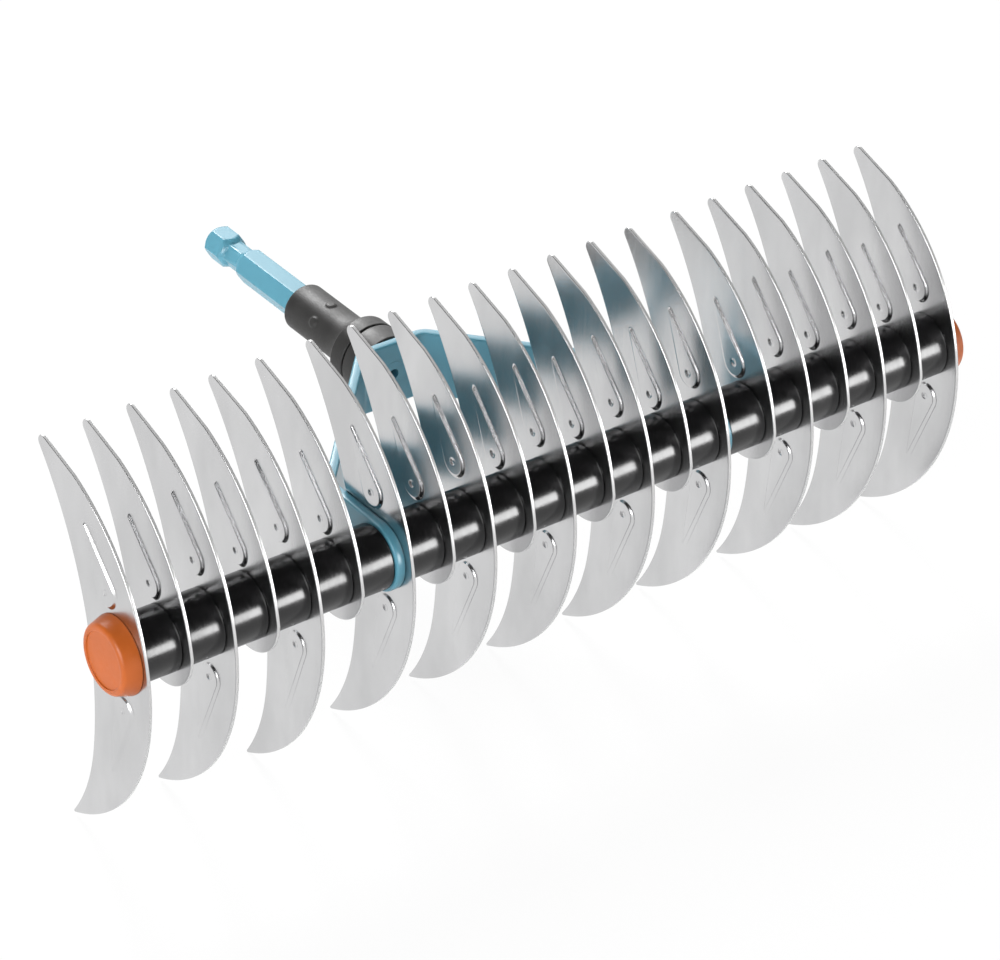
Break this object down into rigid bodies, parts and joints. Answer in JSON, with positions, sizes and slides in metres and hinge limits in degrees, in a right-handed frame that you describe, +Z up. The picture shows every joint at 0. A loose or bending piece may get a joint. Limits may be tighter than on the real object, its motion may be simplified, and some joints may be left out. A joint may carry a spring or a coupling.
{
  "type": "thatch rake head",
  "caption": "Thatch rake head: crescent steel blades and sleeves on an axle, with a strap bracket and a swivelling hexagonal plug for a handle.",
  "frame": {"origin": "centre of the end face of the hexagonal plug", "axes": "+X along the bar, +Y along the handle's axis and out of the plug, +Z up, towards the blades' tips"},
  "size_m": [0.3506, 0.2122, 0.1387],
  "materials": {
    "blade_steel": "polished",
    "spacer_black": "gloss",
    "black_plastic": "satin",
    "blue_paint": "satin",
    "orange_plastic": "satin",
    "axle_steel": "plain"
  },
  "bodies": {
    "rake_head": {"axle": "axle_steel", "washer_left": "axle_steel", "washer_right": "axle_steel", "cap_left": "orange_plastic", "cap_right": "orange_plastic", "bracket": "blue_paint", "pivot_pin": "blue_paint", "pivot_base": "black_plastic", "blade_01": "blade_steel", "blade_02": "blade_steel", "blade_03": "blade_steel", "blade_04": "blade_steel", "blade_05": "blade_steel", "blade_06": "blade_steel", "blade_07": "blade_steel", "blade_08": "blade_steel", "blade_09": "blade_steel", "blade_10": "blade_steel", "blade_11": "blade_steel", "blade_12": "blade_steel", "blade_13": "blade_steel", "blade_14": "blade_steel", "blade_15": "blade_steel", "blade_16": "blade_steel", "blade_17": "blade_steel", "blade_18": "blade_steel", "blade_19": "blade_steel", "blade_20": "blade_steel", "blade_21": "blade_steel", "spacer_01": "spacer_black", "spacer_02": "spacer_black", "spacer_03": "spacer_black", "spacer_04": "spacer_black", "spacer_05": "spacer_black", "spacer_06": "spacer_black", "spacer_07": "spacer_black", "spacer_08": "spacer_black", "spacer_09": "spacer_black", "spacer_10": "spacer_black", "spacer_11": "spacer_black", "spacer_12": "spacer_black", "spacer_13": "spacer_black", "spacer_14": "spacer_black", "spacer_15": "spacer_black", "spacer_16": "spacer_black", "spacer_17": "spacer_black", "spacer_18": "spacer_black", "spacer_19": "spacer_black", "spacer_20": "spacer_black"},
    "handle_coupling": {"pivot_sleeve": "black_plastic", "hex_shank": "blue_paint"}
  },
  "joints": [
    {"name": "head_swing", "type": "hinge", "parent": "rake_head", "child": "handle_coupling", "pos_m": [0, -0.095, 0], "axis": [0, 1, 0], "range_deg": [-15, 15]}
  ]
}
